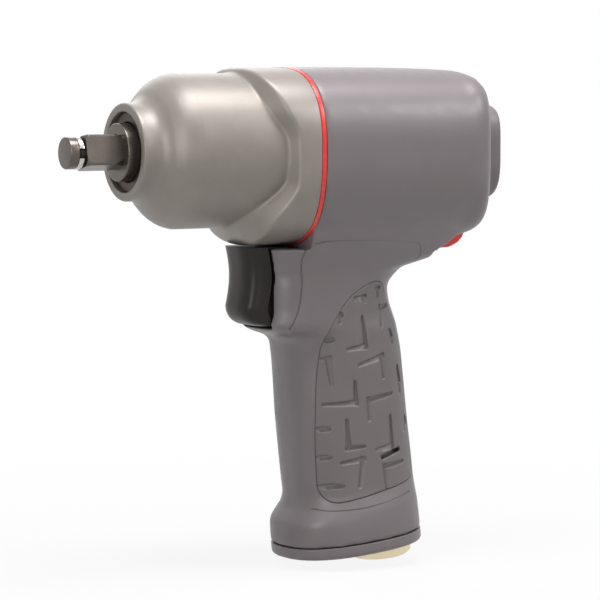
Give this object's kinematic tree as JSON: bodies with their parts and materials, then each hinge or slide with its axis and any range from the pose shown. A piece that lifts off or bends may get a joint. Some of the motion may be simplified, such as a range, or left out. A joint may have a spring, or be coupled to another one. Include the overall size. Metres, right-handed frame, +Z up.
{
  "type": "air impact wrench",
  "caption": "Pistol grip pneumatic impact wrench: square drive anvil, hammer case, vane motor, twin hammer clutch, trigger, reversing lever and air inlet in the handle.",
  "frame": {"origin": "centre of the anvil's flat front face, on the drive axis", "axes": "+X out of the drive, +Y to the tool's left side, +Z up, away from the handle"},
  "size_m": [0.1477, 0.056, 0.1563],
  "materials": {
    "titanium_case": "satin, blasted, titanium grey",
    "housing_grey": "satin moulded composite",
    "grip_grey": "matte soft touch",
    "signal_red": "satin",
    "trigger_black": "satin",
    "polished_steel": "polished",
    "tool_steel": "ground",
    "bronze": "oiled sintered bronze",
    "cast_aluminium": "machined",
    "plated_hex": "nickel plated",
    "black_rubber": "matte",
    "vane_resin": "machined phenolic",
    "felt": "felt"
  },
  "bodies": {
    "tool_body": {"hammer_case": "titanium_case", "anvil_bushing": "bronze", "trim_gasket": "signal_red", "motor_housing": "housing_grey", "grip_panel_left": "grip_grey", "grip_panel_right": "grip_grey", "rear_cover": "housing_grey", "rear_gasket": "black_rubber", "housing_screw_1": "tool_steel", "housing_screw_2": "tool_steel", "housing_screw_3": "tool_steel", "housing_screw_4": "tool_steel", "front_end_plate": "cast_aluminium", "rear_end_plate": "cast_aluminium", "motor_cylinder": "tool_steel", "cylinder_dowel": "polished_steel", "front_bearing_outer_ring": "polished_steel", "rear_bearing_outer_ring": "polished_steel", "trigger_bushing": "bronze", "valve_seat": "black_rubber", "valve_spring": "polished_steel", "inlet_bushing": "plated_hex", "inlet_screen": "polished_steel", "inlet_seal": "black_rubber", "exhaust_foot": "housing_grey", "exhaust_silencer": "felt", "detent_ball": "polished_steel", "detent_spring": "tool_steel", "clamp_washer": "tool_steel"},
    "anvil_unit": {"anvil": "polished_steel", "socket_retainer": "polished_steel", "retainer_cushion": "black_rubber"},
    "rotor_unit": {"rotor": "tool_steel", "vane_1": "vane_resin", "vane_2": "vane_resin", "vane_3": "vane_resin", "vane_4": "vane_resin", "vane_5": "vane_resin", "vane_6": "vane_resin", "vane_7": "vane_resin", "hammer_frame": "tool_steel", "upper_hammer_pin": "polished_steel", "lower_hammer_pin": "polished_steel", "front_bearing_inner_ring": "polished_steel", "rear_bearing_inner_ring": "polished_steel"},
    "front_hammer_unit": {"front_hammer": "tool_steel"},
    "rear_hammer_unit": {"rear_hammer": "tool_steel"},
    "front_ball_cage": {"front_bearing_balls": "polished_steel"},
    "rear_ball_cage": {"rear_bearing_balls": "polished_steel"},
    "trigger_unit": {"trigger": "trigger_black", "trigger_rod": "polished_steel"},
    "throttle_unit": {"throttle_valve": "polished_steel"},
    "reverse_unit": {"reverse_valve": "cast_aluminium", "reverse_lever": "signal_red"}
  },
  "joints": [
    {"name": "rotor_spin", "type": "hinge", "parent": "tool_body", "child": "rotor_unit", "pos_m": [-0.0949, 0, 0], "axis": [1, 0, 0], "continuous": true},
    {"name": "anvil_spin", "type": "hinge", "parent": "tool_body", "child": "anvil_unit", "pos_m": [-0.03, 0, 0], "axis": [1, 0, 0], "continuous": true},
    {"name": "front_ball_orbit", "type": "hinge", "parent": "tool_body", "child": "front_ball_cage", "pos_m": [-0.0724, 0, 0], "axis": [1, 0, 0], "continuous": true},
    {"name": "rear_ball_orbit", "type": "hinge", "parent": "tool_body", "child": "rear_ball_cage", "pos_m": [-0.1174, 0, 0], "axis": [1, 0, 0], "continuous": true},
    {"name": "front_hammer_swing", "type": "hinge", "parent": "rotor_unit", "child": "front_hammer_unit", "pos_m": [-0.0478, 0, 0.0148], "axis": [1, 0, 0], "range_deg": [-6, 6]},
    {"name": "rear_hammer_swing", "type": "hinge", "parent": "rotor_unit", "child": "rear_hammer_unit", "pos_m": [-0.057, 0, -0.0148], "axis": [1, 0, 0], "range_deg": [-6, 6]},
    {"name": "trigger_pull", "type": "slide", "parent": "tool_body", "child": "trigger_unit", "axis": [-1, 0, 0], "range_m": [0, 0.005], "stiffness_N_per_m": 1500, "springref_m": -0.002},
    {"name": "throttle_tilt", "type": "hinge", "parent": "tool_body", "child": "throttle_unit", "pos_m": [-0.09728, 0, -0.06576], "axis": [0, -1, 0], "range_deg": [0, 12], "deforming": ["valve_spring"]},
    {"name": "reverse_swing", "type": "hinge", "parent": "tool_body", "child": "reverse_unit", "pos_m": [-0.124, 0, 0], "axis": [1, 0, 0], "range_deg": [-12, 12]}
  ],
  "couplings": [
    {"joint": "anvil_spin", "follows": "rotor_spin", "ratio": 1},
    {"joint": "front_ball_orbit", "follows": "rotor_spin", "ratio": 0.414},
    {"joint": "rear_ball_orbit", "follows": "rotor_spin", "ratio": 0.373},
    {"joint": "throttle_tilt", "follows": "trigger_pull", "rad_per_m": 41.888}
  ]
}
